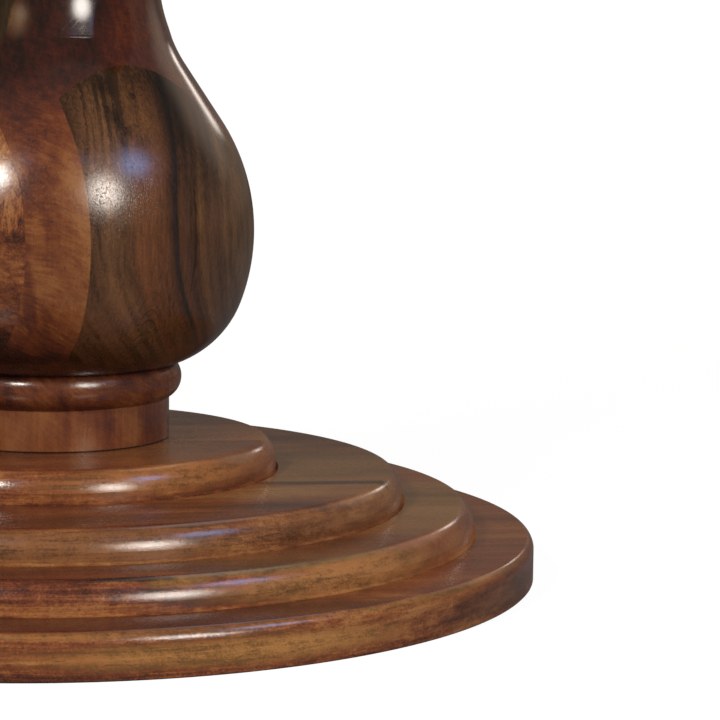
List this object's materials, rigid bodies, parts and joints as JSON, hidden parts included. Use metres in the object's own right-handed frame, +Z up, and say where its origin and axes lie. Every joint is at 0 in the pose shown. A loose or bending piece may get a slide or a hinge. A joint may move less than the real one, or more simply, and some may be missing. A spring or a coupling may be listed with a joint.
{
  "type": "pedestal table base",
  "caption": "Turned wooden pedestal table base: a bulb-shaped column on stacked round-edged discs, with a steel plate that carries a table top.",
  "frame": {"origin": "centre of the bottom disc's underside, on the floor", "axes": "+Z up along the column's axis, -Y towards the camera of the picture, +X to its right"},
  "size_m": [0.7999, 0.8, 0.72],
  "materials": {
    "disc_wood": "glossy lacquer over stained solid wood, streaked golden and dark brown",
    "column_wood": "glossy lacquer over stained solid wood, red-brown with walnut-brown blocks",
    "plate_paint": "black powder coat on steel plate",
    "zinc_steel": "bright zinc-plated steel",
    "insert_brass": "plain turned brass"
  },
  "bodies": {
    "root": {"base_disc_bottom": "disc_wood", "base_disc_lower": "disc_wood", "base_disc_upper": "disc_wood", "base_disc_top": "disc_wood", "column": "column_wood", "top_plate": "plate_paint", "plate_screws": "zinc_steel", "column_bolts": "zinc_steel", "column_washers": "zinc_steel", "column_inserts": "insert_brass", "disc_screws": "zinc_steel"}
  },
  "joints": []
}
